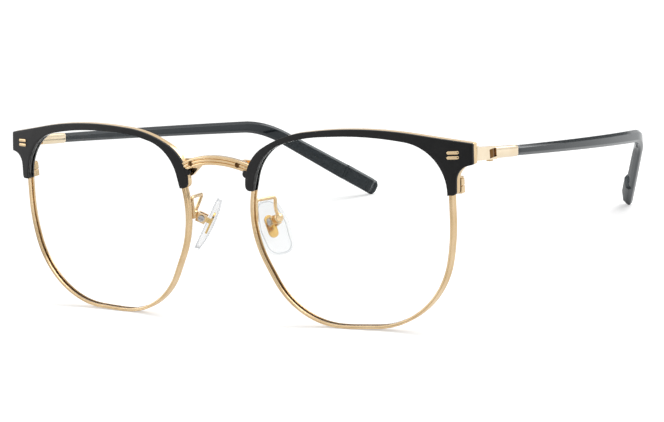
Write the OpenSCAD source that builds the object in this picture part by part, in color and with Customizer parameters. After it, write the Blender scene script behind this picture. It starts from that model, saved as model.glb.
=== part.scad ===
// Browline glasses: a gold metal front with black brow caps, clear lenses,
// rocking nose pads and folding temples on screwed hinges.
// X runs across the face, +Y from the front back to the ears, +Z up. The pair
// stands on its two eyewires and its two temple tips, with the front upright.
// Left and right are the wearer's, and the left side is +X.

/* [Lenses] */
// Width of one lens across its edge
lens_w = 55; // [50:0.5:58]
// Height of one lens across its edge
lens_h = 49.2; // [44:0.2:52]
// Distance between the two lenses
bridge_gap = 20.5; // [17:0.5:24]
// Radius of the ball that the lenses and the front follow
base_radius = 160; // [110:5:220]
// How far each lens turns round the face, in degrees
face_wrap = 4.4; // [2:0.2:7]
// Thickness of a lens
lens_t = 1.6; // [1.2:0.1:2]
// Thickness of the tongue round the lens edge
tongue_t = 0.6; // [0.5:0.05:0.8]

/* [Eyewires] */
// Width of the eyewire, seen from the front
wire_w = 0.9; // [0.85:0.05:1.4]
// Depth of the eyewire, front to back
wire_d = 2.1; // [1.9:0.1:2.6]
// Depth of the groove that holds the lens
groove_depth = 0.35; // [0.3:0.05:0.5]
// Gap between the cut ends of the eyewire
split_gap = 0.2; // [0.1:0.05:0.4]
// Height of each half of the closing block
lock_h = 1.7; // [1.5:0.1:2.4]

/* [Brows] */
// Thickness of the black cap
cap_t = 0.72; // [0.5:0.02:1]
// Depth of the gold bar behind the cap
bar_d = 1.5; // [1.3:0.1:2]
// Reach of the outer end beyond the lens
brow_out = 5.85; // [5:0.05:7]
// Height of the outer end
brow_end_h = 5.1; // [4:0.1:6]
// Height of the brow's two legs above the middle of the lens
leg_z = 9.8; // [6:0.2:12]
// Overhang of the outer leg beyond the lens
leg_out = 1.75; // [1.5:0.05:2.2]
// Overhang of the inner leg beyond the lens
nasal_out = 1.3; // [1.1:0.05:1.8]
// Width of a decorative rivet's head
rivet_w = 3; // [2.4:0.1:3.6]
// Height of a decorative rivet's head
rivet_h = 0.85; // [0.7:0.05:1]
// Distance between the two rivets of one brow
rivet_pitch = 1.2; // [1.15:0.05:1.8]
// Distance of the rivets from the brow's outer end
rivet_in = 4.6; // [3.5:0.1:5]

/* [Bridge] */
// Height of the bridge bar
bridge_h = 2.5; // [2:0.1:3]
// Thickness of the bridge bar
bridge_t = 1.7; // [1.4:0.1:2]
// Radius of the bridge's arch
bridge_r = 20.5; // [18:0.5:30]
// Lean of the arch towards the front, in degrees
bridge_lean = 30; // [15:1:40]
// Height of the arch's middle above the middle of the lens
bridge_z = 17.6; // [15:0.1:19]

/* [Hinges] */
// Distance of the hinge axis inside the brow's outer end
hinge_in = 0.35; // [0:0.05:1]
// Distance of the hinge axis behind the middle of a lens
hinge_y = 15.2; // [14.5:0.1:18]
// Depth of the hinge below the top of the brow's outer end
hinge_low = 3.9; // [3.2:0.1:4.5]
// Thickness of the endpiece arm
arm_t = 2.3; // [2.1:0.1:2.6]
// Height of the endpiece arm
arm_h = 3.3; // [3:0.1:3.8]
// Slope of the endpiece arm below the level, in degrees
arm_slope = 8; // [5:0.5:11]
// Height of the hinge knuckle
knuckle_h = 2.1; // [1.8:0.1:2.2]
// Radius of the hinge screw
screw_r = 0.55; // [0.45:0.05:0.65]

/* [Temples] */
// Length of the gold ferrule
ferrule_l = 11.2; // [9:0.2:14]
// Length of the temple from the hinge axis to the ear bend
straight_l = 99.5; // [85:0.5:105]
// Length of the ear bend
bend_l = 17.4; // [15:0.2:26]
// Length of the tip behind the bend
tip_l = 39.5; // [32:0.5:42]
// Outward heading of the temple at the hinge, in degrees
heading_out = 3; // [0:0.5:4]
// Inward heading of the temple at the ear bend, in degrees
heading_in = 9; // [6:0.5:11]
// Inward heading of the tip, in degrees
tip_in = 30; // [20:1:32]
// How much steeper the tip drops than the temple, in degrees
tip_drop = 26; // [20:1:32]
// Height of the sleeve at the ferrule
sleeve_h = 2.6; // [2.4:0.1:3]
// Height of the sleeve at the ear bend
bend_h = 3.6; // [3:0.1:4.2]
// Height of the sleeve at the tip's end
tip_h = 5; // [4:0.1:5.5]
// Thickness of the sleeve
sleeve_t = 2.2; // [2:0.1:2.6]
// Length of the raised pad inside the tip
pad_step_l = 14.4; // [10:0.2:18]
// Thickness of the raised pad inside the tip
pad_step_t = 0.8; // [0.4:0.1:1.2]
// Height of the steel core in the sleeve
core_h = 1.3; // [1:0.1:1.5]
// Thickness of the steel core in the sleeve
core_t = 0.8; // [0.6:0.1:1]

/* [Nose pads] */
// Length of a nose pad
pad_l = 14; // [11:0.5:16]
// Width of a nose pad
pad_w = 7.4; // [6:0.2:9]
// Thickness of a nose pad
pad_t = 2.1; // [1.8:0.1:2.6]
// Distance of the pad's pivot from the middle of the front
pad_x = 11.3; // [10.8:0.1:12]
// Distance of the pad's pivot behind the middle of a lens
pad_y = 7.6; // [7:0.1:9]
// Height of the pad's pivot above the middle of the lens
pad_z = 0.2; // [-2:0.1:1]
// Sideways splay of the pad, in degrees
pad_splay = 29; // [20:1:34]
// Turn of the pad towards the face, in degrees
pad_turn = 26.5; // [12:0.5:32]
// Outside size of the pad box
box_s = 2.6; // [2.5:0.05:3]
// Radius of the pad arm's wire
pad_wire_r = 0.45; // [0.35:0.05:0.5]

/* [Clearances] */
// Gap between brazed or seated pieces
seat = 0.02; // [0.01:0.01:0.05]
// Gap round the lens tongue in its groove
lens_gap = 0.06; // [0.04:0.01:0.1]
// Running gap of screws, knuckles and pads
run_gap = 0.05; // [0.03:0.01:0.08]

/* [Hidden] */
$fn = 48;
// Facets of the large balls that curve the front
ball_fn = 200;
// Largest distance between a rounded outline and its true arcs
arc_miss = 0.02;
// Half the length of the straight cuts through the front
slab = 20;

// Middle of the left lens, and the eyewire's edges measured from the lens edge
lens_x = (bridge_gap + lens_w) / 2;
wire_in = -groove_depth;
wire_out = wire_w - groove_depth;
lens_z = lens_h / 2 + wire_out;
// Depths measured forwards from the middle of the eyewire
wire_front = wire_d / 2;
bar_back = wire_front - bar_d;
cap_back = wire_front + seat;
cap_front = cap_back + cap_t;
// Outer end of the brow, measured from the middle of the lens, and the hinge behind it
brow_end_x = lens_w / 2 + brow_out;
brow_end_z = lens_h / 2 - 2.4;
hinge_x = lens_x + brow_end_x - hinge_in;
hinge_z = brow_end_z - hinge_low;
hinge = [hinge_x, hinge_y, lens_z + hinge_z];
// Depth of the middle of the bridge, from the middle of a lens
bridge_y = -1.15;

gold = "#dcb67e";
black = "#2b2b2e";
steel = "#b9bbbd";
clear = "#e8f2f466";

// Vector helpers
function unit(v) = v / norm(v);
function xy(p) = [p[0], p[1]];
function within(x, lo, hi) = min(max(x, lo), hi);
function turn(a) = a > 180 ? a - 360 : a < -180 ? a + 360 : a;

// Closed outline through corners [x, y, radius], each rounded by a true arc.
// A radius gives way where two arcs would meet on one side of the outline.
function half_angle(c, i) =
    let (n = len(c), b = xy(c[i]))
    acos(unit(xy(c[(i + n - 1) % n]) - b) * unit(xy(c[(i + 1) % n]) - b)) / 2;
function tangent(c, i) = c[i][2] / tan(half_angle(c, i));
function side_share(c, i) =
    let (j = (i + 1) % len(c))
    min(1, 0.999 * norm(xy(c[j]) - xy(c[i])) / (tangent(c, i) + tangent(c, j)));
function corner_arc(c, i, grow) =
    let (n = len(c), b = xy(c[i]),
         u = unit(xy(c[(i + n - 1) % n]) - b), v = unit(xy(c[(i + 1) % n]) - b),
         h = half_angle(c, i),
         r = c[i][2] * min(side_share(c, (i + n - 1) % n), side_share(c, i)),
         m = b + unit(u + v) * r / sin(h),
         p = b + u * r / tan(h) - m, q = b + v * r / tan(h) - m,
         a = atan2(p[1], p[0]), d = turn(atan2(q[1], q[0]) - a),
         k = max(2, ceil(abs(d) / (2 * acos(1 - arc_miss / max(r, 0.2))))))
    [for (j = [0:k]) m + (r + grow * sign(d)) * [cos(a + d * j / k), sin(a + d * j / k)]];
function rounded(c, grow = 0) = [for (i = [0:len(c) - 1]) each corner_arc(c, i, grow)];

// Lens outline round its own middle, counter-clockwise. Each corner is given by its
// shares of the half width and half height, and the radius of its arc as a share of
// the half width.
lens_corners = [
    [1, -0.049, 1.891], [1, 0.868, 0.484], [0.241, 1.011, 3.127],
    [-0.402, 0.983, 1.6], [-0.881, 0.826, 0.465], [-1.061, 0.014, 0.996],
    [-0.608, -0.987, 0.742], [-0.087, -1.001, 1.382], [0.812, -0.957, 0.811]];
lens_points = [for (c = lens_corners) [c[0] * lens_w / 2, c[1] * lens_h / 2, c[2] * lens_w / 2]];
function lens_outline(grow) = rounded(lens_points, grow);

// Brow outline round the middle of the lens: outer leg, outer end, crown and
// inner leg. The straight side between the legs lies inside the lens.
brow_in_x = -lens_w / 2 - nasal_out;
brow_points = [
    [lens_w / 2 + leg_out, leg_z, 0.8],
    [lens_w / 2 + leg_out + 0.2, brow_end_z - brow_end_h - 0.4, 3.8],
    [brow_end_x + 0.1, brow_end_z - brow_end_h, 0.35],
    [brow_end_x, brow_end_z, 0.35],
    [lens_w * 0.112, lens_h / 2 + 2.25, 100],
    [-lens_w * 0.3036, lens_h / 2 - 0.1, 33],
    [brow_in_x + 0.15, lens_h / 2 - 6.7, 11],
    [brow_in_x, leg_z, 1.3]];
// Small lobe of the cap over the end of the bridge
lobe_r = 1;
lobe = [brow_in_x + 0.2, leg_z + 4.3];

// The temple's route from the hinge: heading and slope at each distance s, for
// a temple that leaves the hinge at the slope b
temple_l = straight_l + bend_l + tip_l;
ferrule_start = 1.6;
tine_y = ferrule_start - run_gap;
ferrule_end = ferrule_start + ferrule_l;
function heading(s) =
    s < ferrule_end ? heading_out
    : s < straight_l
    ? heading_out - (heading_out + heading_in) * (s - ferrule_end) / (straight_l - ferrule_end)
    : -heading_in - (tip_in - heading_in) * within((s - straight_l) / bend_l, 0, 1);
function slope(s, b) = b + tip_drop * within((s - straight_l) / bend_l, 0, 1);
function along(s, b) =
    [sin(heading(s)) * cos(slope(s, b)), cos(heading(s)) * cos(slope(s, b)), -sin(slope(s, b))];
function route(b) = [for (s = 0, p = [0, 0, 0]; s <= temple_l; p = p + along(s + 0.5, b), s = s + 1) p];
function spot(w, s, b) = let (i = min(floor(s), len(w) - 1)) w[i] + along(i + 0.5, b) * (s - i);

// Sleeve section at s: half height, outer and inner reach, all rounded off at the end
pad_start = temple_l - pad_step_l;
end_r = 1.5;
function end_u(s) = within((s - temple_l + end_r) / end_r, 0, 1);
function end_cut(s, r) = r * (1 - sqrt(max(0, 1 - pow(end_u(s), 2))));
function half_h(s) =
    (s < straight_l ? sleeve_h + (bend_h - sleeve_h) * (s - ferrule_end) / (straight_l - ferrule_end)
    : bend_h + (tip_h - bend_h) * within((s - straight_l) / (pad_start - straight_l), 0, 1)) / 2
    - end_cut(s, end_r);
function out_t(s) = sleeve_t / 2 - end_cut(s, 0.8);
function in_t(s) = sleeve_t / 2 + pad_step_t * within((s - pad_start) / 0.5, 0, 1)
    - pad_step_t * within((s - temple_l + 3.2) / 1.2, 0, 1) - end_cut(s, 0.8);
// Rounded rectangle of 12 points, x outwards and y up
function oblong(xi, xo, h, c) = let (k = 0.293 * c) [
    [xo, -h + c], [xo, h - c], [xo - k, h - k], [xo - c, h], [-xi + c, h], [-xi + k, h - k],
    [-xi, h - c], [-xi, -h + c], [-xi + k, -h + k], [-xi + c, -h], [xo - c, -h], [xo - k, -h + k]];
function ring(w, s, b, shape) =
    let (d = along(within(s, 0, temple_l - 0.5), b), side = unit(cross(d, [0, 0, 1])),
         up = cross(side, d), p = spot(w, s, b))
    [for (q = shape) p + side * q[0] + up * q[1]];
function sleeve_ring(w, s, b) = ring(w, s, b, oblong(in_t(s), out_t(s), half_h(s), min(0.8, out_t(s) * 0.8)));
end_stations = [for (u = [0, 0.4, 0.7, 0.9, 1]) temple_l - end_r * (1 - u)];
// Slope at which the tips come down to the level of the eyewires
function lowest(b) = let (w = route(b)) min([for (s = end_stations) for (q = sleeve_ring(w, s, b)) q[2]]);
function settled(b, n) = n == 0 ? b : settled(b + (hinge[2] + lowest(b)) / temple_l * 180 / PI, n - 1);
temple_slope = settled(arm_slope, 4);
temple_way = route(temple_slope);

// Overall depth, which puts the origin under the middle of the pair
back_y = hinge_y + max([for (s = end_stations) for (q = sleeve_ring(temple_way, s, temple_slope)) q[1]]);
front_y = bridge_y - bridge_t / 2;
middle_y = (front_y + back_y) / 2;

// The left side is drawn, and the right side is its mirror
module on(side) { translate([0, -middle_y, 0]) mirror([side > 0 ? 0 : 1, 0, 0]) children(); }
module at_lens() { translate([lens_x, 0, lens_z]) children(); }
// A shape in the plane of the front, cut through the whole depth
module through() { rotate([90, 0, 0]) linear_extrude(height = 2 * slab, center = true) children(); }
// Depth of the front's curve, grown forwards by g, at x and z from the middle of the lens
function depth(x, z, g) =
    let (u = x + base_radius * sin(face_wrap))
    base_radius * cos(face_wrap) - sqrt(pow(base_radius + g, 2) - u * u - z * z);
// Ball of the front's curve, grown forwards by g
module ball(g) {
    translate([-base_radius * sin(face_wrap), base_radius * cos(face_wrap), 0])
        sphere(r = base_radius + g, $fn = ball_fn);
}
// What lies between the depths f and b of the front's curve
module curved(f, b) {
    difference() {
        intersection() {
            children();
            ball(f);
        }
        ball(b);
    }
}
// Block behind the plane that touches the ball grown by g, at x and z
module behind(x, z, g) {
    u = x + base_radius * sin(face_wrap);
    r = base_radius + g;
    translate([-base_radius * sin(face_wrap), base_radius * cos(face_wrap), 0])
        rotate([0, -asin(z / r), -acos(u / sqrt(r * r - z * z))])
        translate([r - slab, -slab, -slab]) cube([slab, 2 * slab, 2 * slab]);
}
module lens_cut(g) { through() polygon(lens_outline(g)); }

module eyewire(side) {
    color(gold) on(side) at_lens() difference() {
        curved(wire_front, -wire_front) through() difference() {
            polygon(lens_outline(wire_out));
            polygon(lens_outline(wire_in));
        }
        curved(tongue_t / 2 + lens_gap, -tongue_t / 2 - lens_gap) lens_cut(0);
        translate([lens_w / 2 - 2, -slab / 2, lock_z - split_gap / 2]) cube([wire_w + 3, slab, split_gap]);
    }
}

module lens(side) {
    color(clear) on(side) at_lens() union() {
        curved(lens_t / 2, -lens_t / 2) lens_cut(wire_in - lens_gap);
        curved(tongue_t / 2, -tongue_t / 2) lens_cut(-lens_gap);
    }
}

// Rivet places, measured from the middle of the lens
rivet_x = brow_end_x - rivet_in;
rivet_z = brow_end_z - brow_end_h / 2 - 0.05;
rivet_r = 0.4;
rivet_head = 0.28;
module rivet_holes() {
    for (s = [-1, 1]) translate([rivet_x, 0, rivet_z + s * rivet_pitch / 2])
        rotate([90, 0, 0]) cylinder(r = rivet_r + seat, h = 2 * slab, center = true);
}

module brow_cap(side) {
    color(black) on(side) at_lens() difference() {
        curved(cap_front, cap_back) through() difference() {
            union() {
                polygon(rounded(brow_points));
                translate(lobe) circle(r = lobe_r);
            }
            polygon(lens_outline(wire_in));
        }
        rivet_holes();
    }
}

module brow_bar(side) {
    color(gold) on(side) at_lens() difference() {
        curved(wire_front, bar_back) through() difference() {
            polygon(rounded(brow_points));
            polygon(lens_outline(wire_out + seat));
        }
        rivet_holes();
    }
}

module brow_rivets(side) {
    color(gold) on(side) at_lens() for (s = [-1, 1]) union() {
        curved(cap_front + seat + rivet_head, cap_front + seat)
            translate([rivet_x, 0, rivet_z + s * rivet_pitch / 2]) through() union() {
                square([rivet_w - rivet_h, rivet_h], center = true);
                translate([(rivet_w - rivet_h) / 2, 0]) circle(r = rivet_h / 2);
                translate([(rivet_h - rivet_w) / 2, 0]) circle(r = rivet_h / 2);
            }
        curved(cap_front + seat + rivet_head / 2, plate_front - plate_t)
            translate([rivet_x, 0, rivet_z + s * rivet_pitch / 2])
            rotate([90, 0, 0]) cylinder(r = rivet_r, h = 2 * slab, center = true);
    }
}

// Bridge: a ridged bar on an arc that leans forwards
ridge_r = bridge_h / 6;
bridge_span = bridge_gap / 2 + 0.6;
function bridge_fall(x) = bridge_r * (1 - cos(asin(x / bridge_r)));
module bridge_bar(g) {
    sweep = 2 * asin(bridge_span / bridge_r);
    body_t = bridge_t - ridge_r;
    translate([0, bridge_y, lens_z + bridge_z]) rotate([bridge_lean, 0, 0]) translate([0, 0, -bridge_r])
        rotate([90, 0, 0]) rotate([0, 0, 90 - sweep / 2])
        rotate_extrude(angle = sweep, $fn = 180) translate([bridge_r, 0]) rotate(-bridge_lean) union() {
            translate([-bridge_h / 2 + 0.1 - g, -bridge_t / 2 - g])
                square([bridge_h - 0.2 + 2 * g, body_t + 2 * g]);
            for (k = [-1, 0, 1])
                translate([k * 2 * (ridge_r - 0.02), bridge_t / 2 - ridge_r]) circle(r = ridge_r + g);
        }
}

// Screw that draws each end of the bridge against its foot
bridge_screw_x = bridge_gap / 2 - 3.05;
bridge_screw_z = lens_z + bridge_z - bridge_fall(bridge_screw_x) * cos(bridge_lean);
bridge_face_y = bridge_y + bridge_fall(bridge_screw_x) * sin(bridge_lean) - bridge_t / 2;
bridge_screw_r = 0.38;
bridge_head_r = 0.65;
bridge_sink = 0.45;
// Rod from y0 back to y1, at the bridge screw
module bridge_rod(r, y0, y1) {
    translate([bridge_screw_x, y0, bridge_screw_z]) rotate([-90, 0, 0]) cylinder(r = r, h = y1 - y0);
}

module bridge() {
    color(gold) translate([0, -middle_y, 0]) difference() {
        bridge_bar(0);
        for (side = [0, 1]) mirror([side, 0, 0]) {
            translate([-seat, 0, 0]) at_lens() through() union() {
                polygon(rounded(brow_points));
                translate(lobe) circle(r = lobe_r);
            }
            bridge_rod(bridge_screw_r + seat, -slab, slab);
            bridge_rod(bridge_head_r + run_gap, -slab, bridge_face_y + bridge_sink);
        }
    }
}

// Foot behind the brow bar, with a cradle for the end of the bridge
foot_t = 1.1;
foot_in = bridge_screw_x - 0.85;
foot_top = bridge_screw_z - lens_z + 0.7;
module bridge_foot(side) {
    at = foot_in - lens_x;
    color(gold) on(side) difference() {
        union() {
            at_lens() curved(bar_back - seat, bar_back - seat - foot_t) through() polygon(rounded([
                [at + 0.1, foot_top - 2.1, 0.5], [at + 2.4, foot_top - 4.4, 0.6],
                [at + 5, foot_top - 4.8, 0.3], [at + 5, foot_top, 0.3], [at, foot_top, 0.4]]));
            translate([foot_in, bridge_face_y + 1.15, lens_z + foot_top - 2.05]) cube([1.7, 1.9, 2]);
        }
        at_lens() lens_cut(wire_out + seat);
        bridge_bar(seat);
        bridge_rod(bridge_screw_r + seat, -slab, slab);
    }
}

module bridge_screw(side) {
    y = bridge_face_y + bridge_sink - seat;
    color(gold) on(side) difference() {
        union() {
            bridge_rod(bridge_screw_r, y - 0.1, y + 3);
            bridge_rod(bridge_head_r, y - 0.3, y);
        }
        translate([bridge_screw_x, y - 0.3, bridge_screw_z]) cube([0.22, 0.3, 2], center = true);
    }
}

// Closing block: two halves behind the outer leg, drawn together by a screw
lock_z = leg_z + lock_h;
lock_r = 1;
lock_x = lens_w / 2 + wire_out + 0.35;
lock_back = 1.65;
lock_y = depth(lock_x, lock_z, -wire_front - seat) + lock_back;
lock_screw_r = 0.5;
module rim_lock(side, up) {
    color(gold) on(side) at_lens() difference() {
        intersection() {
            translate([0, 0, lock_z + (up ? split_gap / 2 : -split_gap / 2 - lock_h)])
                linear_extrude(height = lock_h) union() {
                    translate([lock_x - lock_r, 0]) square([2 * lock_r, lock_y]);
                    translate([lock_x, lock_y]) circle(r = lock_r);
                }
            behind(lock_x, lock_z, -wire_front - seat);
        }
        translate([lock_x, lock_y, lock_z - 5]) cylinder(r = lock_screw_r + (up ? run_gap : seat), h = 10);
    }
}
module rim_screw(side) {
    top = lock_z + split_gap / 2 + lock_h + seat;
    color(gold) on(side) at_lens() translate([lock_x, lock_y, 0]) difference() {
        union() {
            translate([0, 0, lock_z - split_gap / 2 - lock_h + 0.2])
                cylinder(r = lock_screw_r, h = 2 * lock_h + split_gap);
            translate([0, 0, top]) cylinder(r = 0.82, h = 0.4);
        }
        translate([0, 0, top + 0.4]) cube([2, 0.25, 0.36], center = true);
    }
}

// Endpiece: a plate behind the brow bar that turns back into the forked hinge arm
plate_front = bar_back - seat;
plate_t = 1.3;
arm_from = 7;
function arm_x(y) =
    lens_x + brow_end_x + (hinge_x + arm_t / 2 - lens_x - brow_end_x) * (y - arm_from) / (hinge_y - arm_from);
module endpiece(side) {
    h = arm_h / 2;
    k = tan(arm_slope);
    rear = hinge_y + tine_y;
    color(gold) on(side) difference() {
        union() {
            at_lens() curved(plate_front, plate_front - plate_t) through() polygon(rounded([
                [brow_end_x - 6.4, hinge_z + 1.15 - h, 0.5], [brow_end_x - 0.1, hinge_z + 1.15 - h, 0.2],
                [brow_end_x - 0.1, hinge_z + 1.15 + h, 0.2], [brow_end_x - 6.4, hinge_z + 1.15 + h, 0.5]]));
            intersection() {
                translate([hinge_x - slab, 0, hinge[2]]) rotate([90, 0, 90])
                    linear_extrude(height = 2 * slab) polygon([
                        [0, hinge_y * k - h], [rear, -tine_y * k - h],
                        [rear, -tine_y * k + h], [0, hinge_y * k + h]]);
                linear_extrude(height = 4 * slab) union() {
                    polygon([[arm_x(0) - arm_t, 0], [arm_x(0), 0], [arm_x(rear), rear],
                        [hinge_x, rear], [hinge_x, hinge_y], [hinge_x - arm_t / 2, hinge_y]]);
                    translate([hinge_x, hinge_y]) circle(r = arm_t / 2);
                }
                at_lens() ball(plate_front);
            }
        }
        translate([hinge_x - slab / 2, hinge_y - 1.7, hinge[2] - knuckle_h / 2 - run_gap])
            cube([slab, slab, knuckle_h + 2 * run_gap]);
        translate(hinge) cylinder(r = screw_r + seat, h = slab, center = true);
        at_lens() rivet_holes();
    }
}

module hinge_screw(side) {
    head_r = 0.85;
    foot = -arm_h / 2 - head_r * tan(arm_slope) - seat;
    color(gold) on(side) translate(hinge) difference() {
        union() {
            translate([0, 0, foot - 0.1]) cylinder(r = screw_r, h = arm_h / 2 - foot);
            translate([0, 0, foot - 0.24]) cylinder(r = head_r, h = 0.24);
        }
        translate([0, 0, foot - 0.24]) cube([0.25, 2, 0.24], center = true);
    }
}

// Temple pieces drawn in a frame that leaves the hinge along the temple
module at_temple() { translate(hinge) rotate([-temple_slope, 0, -heading_out]) children(); }
leaf_t = 0.9;
leaf_h = 1.5;
leaf_l = 5;
core_in = 4;
module tang(g) {
    at_temple() translate([-leaf_t / 2 - g, 0, -leaf_h / 2 - g])
        cube([leaf_t + 2 * g, ferrule_start + leaf_l + g, leaf_h + 2 * g]);
}
module hinge_leaf(side) {
    color(gold) on(side) difference() {
        union() {
            translate(hinge) cylinder(r = arm_t / 2, h = knuckle_h, center = true);
            tang(0);
        }
        translate(hinge) cylinder(r = screw_r + run_gap, h = slab, center = true);
    }
}

module ferrule(side) {
    h = sleeve_h / 2 + 0.15;
    t = arm_t / 2;
    c = 0.4;
    color(gold) on(side) difference() {
        at_temple() translate([0, ferrule_end, 0]) rotate([90, 0, 0])
            linear_extrude(height = ferrule_l + 0.6) polygon([
                [c - t, -h], [t - c, -h], [t, c - h], [t, h - c],
                [t - c, h], [c - t, h], [-t, h - c], [-t, c - h]]);
        translate([hinge_x - slab / 2, hinge_y + ferrule_start - slab, 0]) cube([slab, slab, 4 * slab]);
        tang(seat);
        at_temple() translate([-core_t / 2 - seat, ferrule_end - core_in, -core_h / 2 - seat])
            cube([core_t + 2 * seat, core_in + 1, core_h + 2 * seat]);
    }
}

// Skin of triangles round a list of rings that all have n points
function strip(a, b, n) =
    [for (j = [0:n - 1]) let (k = (j + 1) % n) each [[a + j, a + k, b + k], [a + j, b + k, b + j]]];
function skin(first, count, n) =
    [for (i = [0:count - 2]) each strip(first + i * n, first + (i + 1) * n, n)];
function fan(a, n) = [for (j = [1:n - 2]) [a, a + j, a + j + 1]];
function flip(faces) = [for (f = faces) [f[0], f[2], f[1]]];
module tube(rings) {
    n = len(rings[0]);
    m = len(rings);
    polyhedron(points = [for (r = rings) each r],
        faces = concat(skin(0, m, n), flip(fan(0, n)), fan((m - 1) * n, n)));
}
// The same with a blind channel, which starts in the plane of the first ring
module cored_tube(rings, bore) {
    n = len(rings[0]);
    m = len(rings);
    o = m * n;
    polyhedron(points = concat([for (r = rings) each r], [for (r = bore) each r]),
        faces = concat(skin(0, m, n), fan((m - 1) * n, n), flip(strip(0, o, n)),
            flip(skin(o, len(bore), n)), flip(fan(o + (len(bore) - 1) * n, n))));
}

straight_stations = [for (i = [1:7]) ferrule_end + (straight_l - ferrule_end) * i / 8];
bend_stations = [for (i = [0:6]) straight_l + bend_l * i / 6];
core_rest = 16;
core_end = temple_l - core_rest;
function core_ring(s, g) =
    ring(temple_way, s, temple_slope, oblong(core_t / 2 + g, core_t / 2 + g, core_h / 2 + g, 0.1));
module temple_core(side) {
    color(steel) on(side) translate(hinge) tube([for (s = concat(
        [ferrule_end - core_in + seat, ferrule_end], straight_stations, bend_stations, [core_end]))
        core_ring(s, 0)]);
}
module temple_sleeve(side) {
    color(black) on(side) translate(hinge) cored_tube(
        [for (s = concat([ferrule_end + seat], straight_stations, bend_stations, [pad_start, pad_start + 0.5,
            temple_l - 3.2, temple_l - 2], end_stations)) sleeve_ring(temple_way, s, temple_slope)],
        [for (s = concat([ferrule_end + seat], straight_stations, bend_stations, [core_end + 0.1]))
            core_ring(s, seat)]);
}

// Wire of 8 sides through a list of points, with each inner corner bent over the distance r
function bent(p, r) = [for (i = [0:len(p) - 1]) each i == 0 || i == len(p) - 1 ? [p[i]] :
    let (a = p[i] + unit(p[i - 1] - p[i]) * r, b = p[i] + unit(p[i + 1] - p[i]) * r)
    [for (t = [0:0.2:1]) a * pow(1 - t, 2) + p[i] * 2 * t * (1 - t) + b * t * t]];
function wire_rings(p, r) =
    let (n = len(p), d = [for (i = [0:n - 1]) unit(p[min(i + 1, n - 1)] - p[max(i - 1, 0)])])
    [for (i = 0, u = unit(cross([0, 0, 1], d[0])); i < n;
        i = i + 1, u = unit(u - (u * d[min(i, n - 1)]) * d[min(i, n - 1)]))
        let (v = cross(d[i], u)) [for (a = [0:45:315]) p[i] + u * r * cos(a) - v * r * sin(a)]];

// Frame of a nose pad: x from the nose outwards, y back across the pad, z up its length
module at_pad() {
    translate([pad_x, pad_y, lens_z + pad_z]) rotate([0, 0, -pad_turn]) rotate([0, -pad_splay, 0]) children();
}
function pad_point(q) =
    let (x = q[0] * cos(pad_splay) - q[2] * sin(pad_splay),
         z = q[0] * sin(pad_splay) + q[2] * cos(pad_splay))
    [pad_x + x * cos(pad_turn) + q[1] * sin(pad_turn),
     pad_y - x * sin(pad_turn) + q[1] * cos(pad_turn), lens_z + pad_z + z];
// The wire climbs behind the eyewire, turns back, and comes down into the ball beside the box
ball_r = 1.25;
ball_at = [box_s / 2 + 1, 0.3, 0];
socket_z = 0.8;
module pad_arm(side) {
    color(gold) on(side) tube(wire_rings(bent([
        [bridge_gap / 2 - 0.5, 1.94, lens_z + 1.2], [bridge_gap / 2 - 0.2, 2.02, lens_z + 6.8],
        [bridge_gap / 2 + 1.2, 8.9, lens_z + 6.3], pad_point(ball_at + [0, 0, 2.9]),
        pad_point(ball_at + [0, 0, socket_z + seat])], 1), pad_wire_r));
}

ear_t = 1;
ear_r = 0.85;
pin_r = 0.42;
module pad_box(side) {
    color(gold) on(side) at_pad() difference() {
        union() {
            cube([box_s, box_s, box_s - 0.2], center = true);
            translate(ball_at) sphere(r = ball_r, $fn = 120);
        }
        translate(ball_at + [0, 0, socket_z]) cylinder(r = pad_wire_r + seat, h = 2);
        translate([-box_s, -ear_t / 2 - run_gap, -box_s])
            cube([box_s + ear_r + run_gap, ear_t + 2 * run_gap, 2 * box_s]);
        rotate([90, 0, 0]) cylinder(r = pin_r + seat, h = 2 * box_s, center = true);
    }
}
module pad_screw(side) {
    color(gold) on(side) at_pad() rotate([90, 0, 0]) difference() {
        union() {
            translate([0, 0, 0.1 - box_s / 2]) cylinder(r = pin_r, h = box_s);
            translate([0, 0, box_s / 2 + seat]) cylinder(r = 0.85, h = 0.4);
        }
        translate([0, 0, box_s / 2 + 0.42]) cube([2, 0.25, 0.36], center = true);
    }
}

// Insert: an ear on the screw, a stem, and an oval plate held inside the pad
plate_l = 6.2;
plate_r = 1.4;
pad_back = box_s / 2 + 0.35;
pad_low = -1;
pad_rear = 0.6;
module pad_metal(g) {
    translate([-pad_back - pad_t / 2 - g, -ear_t / 2 - g, -0.6 - g])
        cube([pad_back + pad_t / 2 + 2 * g, ear_t + 2 * g, 1.2 + 2 * g]);
    translate([-pad_back - pad_t / 2 - 0.25 - g, pad_rear - 0.3, pad_low + 0.5]) rotate([0, 90, 0])
        linear_extrude(height = 0.5 + 2 * g) union() {
            square([plate_l - 2 * plate_r, 2 * (plate_r + g)], center = true);
            for (k = [-1, 1]) translate([k * (plate_l / 2 - plate_r), 0]) circle(r = plate_r + g);
        }
}
module pad_insert(side) {
    color(gold) on(side) at_pad() difference() {
        union() {
            pad_metal(0);
            rotate([90, 0, 0]) cylinder(r = ear_r, h = ear_t, center = true);
        }
        rotate([90, 0, 0]) cylinder(r = pin_r + run_gap, h = 2 * box_s, center = true);
    }
}
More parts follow.
